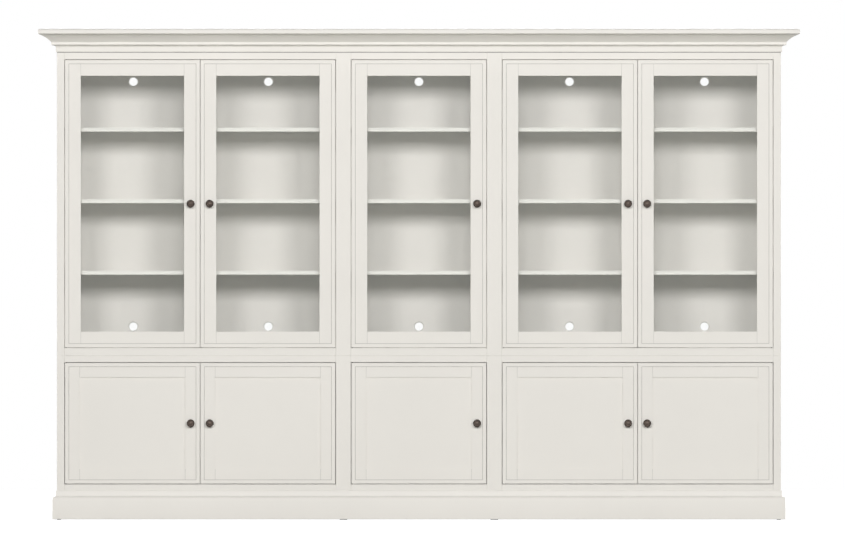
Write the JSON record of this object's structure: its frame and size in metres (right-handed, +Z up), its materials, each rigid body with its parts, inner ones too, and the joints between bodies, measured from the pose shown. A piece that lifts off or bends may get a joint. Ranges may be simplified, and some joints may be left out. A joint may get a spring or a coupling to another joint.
{
  "type": "display unit",
  "caption": "Wide white painted bookcase wall unit: glass doors over shelves above, panel doors below, with a stepped crown moulding and a plinth.",
  "frame": {"origin": "on the floor, at the middle of the overall width and depth", "axes": "+X to the right along the front, +Y from the front to the wall, +Z up"},
  "size_m": [3.546, 0.488, 2.2845],
  "materials": {
    "white_paint": "satin white paint on wood",
    "clear_glass": "clear float glass",
    "dark_bronze": "dark oiled bronze",
    "steel": "zinc plated",
    "white_plastic": "moulded",
    "black_plastic": "moulded"
  },
  "bodies": {
    "root": {"pivot_plates": "dark_bronze", "magnetic_catches": "white_plastic", "hutch_face_frames": "white_paint", "hutch_side_panels": "white_paint", "hutch_dividers": "white_paint", "hutch_top_panels": "white_paint", "hutch_bottom_panels": "white_paint", "hutch_back_panels": "white_paint", "base_face_frames": "white_paint", "base_side_panels": "white_paint", "base_dividers": "white_paint", "base_top_panels": "white_paint", "base_bottom_panels": "white_paint", "base_back_panels": "white_paint", "hutch_shelves": "white_paint", "hutch_fixed_shelves": "white_paint", "base_shelves": "white_paint", "shelf_supports": "steel", "floor_skids": "black_plastic", "joining_plates": "steel", "anti_tip_brackets": "steel", "crown_moulding": "white_paint", "plinth_moulding": "white_paint", "crown_backing": "white_paint"},
    "upper_door_1": {"upper_door_1_frame": "white_paint", "upper_door_1_glass": "clear_glass", "upper_door_1_glazing_strips": "white_paint", "upper_door_1_metalwork": "dark_bronze"},
    "upper_door_2": {"upper_door_2_frame": "white_paint", "upper_door_2_glass": "clear_glass", "upper_door_2_glazing_strips": "white_paint", "upper_door_2_metalwork": "dark_bronze"},
    "upper_door_3": {"upper_door_3_frame": "white_paint", "upper_door_3_glass": "clear_glass", "upper_door_3_glazing_strips": "white_paint", "upper_door_3_metalwork": "dark_bronze"},
    "upper_door_4": {"upper_door_4_frame": "white_paint", "upper_door_4_glass": "clear_glass", "upper_door_4_glazing_strips": "white_paint", "upper_door_4_metalwork": "dark_bronze"},
    "upper_door_5": {"upper_door_5_frame": "white_paint", "upper_door_5_glass": "clear_glass", "upper_door_5_glazing_strips": "white_paint", "upper_door_5_metalwork": "dark_bronze"},
    "lower_door_1": {"lower_door_1_frame": "white_paint", "lower_door_1_panel": "white_paint", "lower_door_1_metalwork": "dark_bronze"},
    "lower_door_2": {"lower_door_2_frame": "white_paint", "lower_door_2_panel": "white_paint", "lower_door_2_metalwork": "dark_bronze"},
    "lower_door_3": {"lower_door_3_frame": "white_paint", "lower_door_3_panel": "white_paint", "lower_door_3_metalwork": "dark_bronze"},
    "lower_door_4": {"lower_door_4_frame": "white_paint", "lower_door_4_panel": "white_paint", "lower_door_4_metalwork": "dark_bronze"},
    "lower_door_5": {"lower_door_5_frame": "white_paint", "lower_door_5_panel": "white_paint", "lower_door_5_metalwork": "dark_bronze"}
  },
  "joints": [
    {"name": "upper_door_1_hinge", "type": "hinge", "parent": "root", "child": "upper_door_1", "pos_m": [-1.6425, -0.151, 1.4715], "axis": [0, 0, -1], "range_deg": [0, 90]},
    {"name": "upper_door_2_hinge", "type": "hinge", "parent": "root", "child": "upper_door_2", "pos_m": [-0.394, -0.151, 1.4715], "axis": [0, 0, 1], "range_deg": [0, 90]},
    {"name": "upper_door_3_hinge", "type": "hinge", "parent": "root", "child": "upper_door_3", "pos_m": [-0.309, -0.151, 1.4715], "axis": [0, 0, -1], "range_deg": [0, 90]},
    {"name": "upper_door_4_hinge", "type": "hinge", "parent": "root", "child": "upper_door_4", "pos_m": [0.394, -0.151, 1.4715], "axis": [0, 0, -1], "range_deg": [0, 90]},
    {"name": "upper_door_5_hinge", "type": "hinge", "parent": "root", "child": "upper_door_5", "pos_m": [1.6425, -0.151, 1.4715], "axis": [0, 0, 1], "range_deg": [0, 90]},
    {"name": "lower_door_1_hinge", "type": "hinge", "parent": "root", "child": "lower_door_1", "pos_m": [-1.6425, -0.151, 0.44925], "axis": [0, 0, -1], "range_deg": [0, 90]},
    {"name": "lower_door_2_hinge", "type": "hinge", "parent": "root", "child": "lower_door_2", "pos_m": [-0.394, -0.151, 0.44925], "axis": [0, 0, 1], "range_deg": [0, 90]},
    {"name": "lower_door_3_hinge", "type": "hinge", "parent": "root", "child": "lower_door_3", "pos_m": [-0.309, -0.151, 0.44925], "axis": [0, 0, -1], "range_deg": [0, 90]},
    {"name": "lower_door_4_hinge", "type": "hinge", "parent": "root", "child": "lower_door_4", "pos_m": [0.394, -0.151, 0.44925], "axis": [0, 0, -1], "range_deg": [0, 90]},
    {"name": "lower_door_5_hinge", "type": "hinge", "parent": "root", "child": "lower_door_5", "pos_m": [1.6425, -0.151, 0.44925], "axis": [0, 0, 1], "range_deg": [0, 90]}
  ]
}
